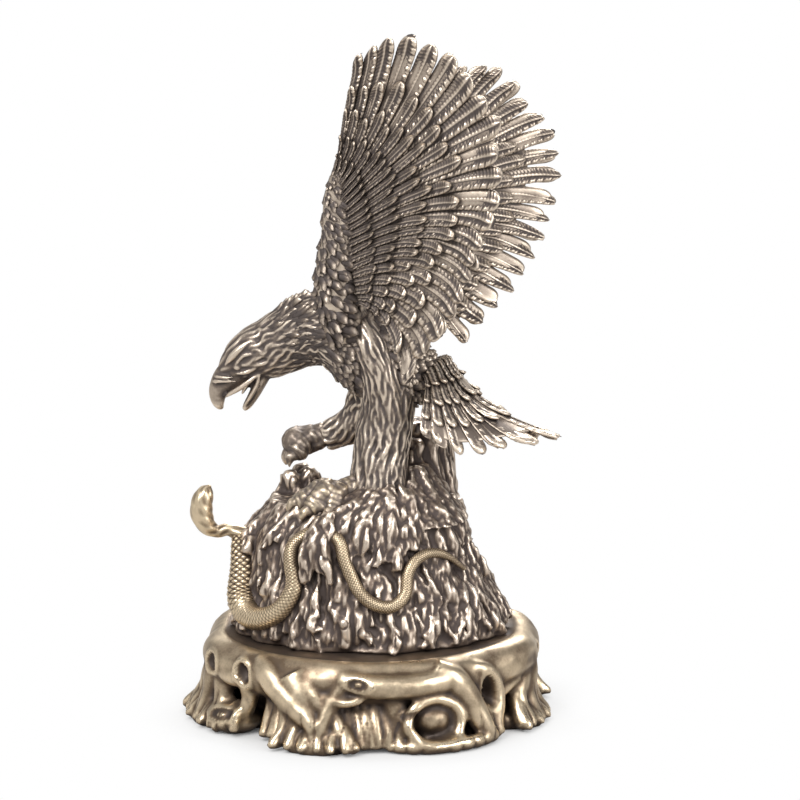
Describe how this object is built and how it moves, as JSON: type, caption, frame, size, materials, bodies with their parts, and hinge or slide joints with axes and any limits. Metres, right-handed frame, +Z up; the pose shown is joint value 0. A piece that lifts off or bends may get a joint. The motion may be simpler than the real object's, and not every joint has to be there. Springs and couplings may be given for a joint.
{
  "type": "bronze statuette",
  "caption": "Small cast bronze statuette of an eagle with raised wings that strikes at a snake on a crag, on a root-wood stand; stands free.",
  "frame": {"origin": "middle of the bounding box on the plane that the stand's feet rest on", "axes": "+Z up; the eagle looks towards -X; its left wing and the statuette's show side face -Y"},
  "size_m": [0.0354, 0.0345, 0.0653],
  "materials": {
    "stand_bronze": "antique bronze: dark patina in the hollows, rubbed bright on the high places",
    "crag_bronze": "antique bronze: dark patina in the hollows, rubbed bright on the high places",
    "snake_bronze": "antique bronze: dark patina in the hollows, rubbed bright on the high places",
    "eagle_bronze": "antique bronze: dark patina in the hollows, rubbed bright on the high places",
    "claw_bronze": "antique bronze: dark patina in the hollows, rubbed bright on the high places",
    "plated_steel": "zinc plated"
  },
  "bodies": {
    "root": {"stand": "stand_bronze", "crag": "crag_bronze", "snake": "snake_bronze", "eagle_body": "eagle_bronze", "left_wing": "eagle_bronze", "right_wing": "eagle_bronze", "tail": "eagle_bronze", "left_foot": "claw_bronze", "right_foot": "claw_bronze", "body_stud": "plated_steel", "wing_dowels": "plated_steel", "tail_dowel": "plated_steel", "locating_pin": "plated_steel", "stand_screw": "plated_steel", "screw_washer": "plated_steel"}
  },
  "joints": []
}
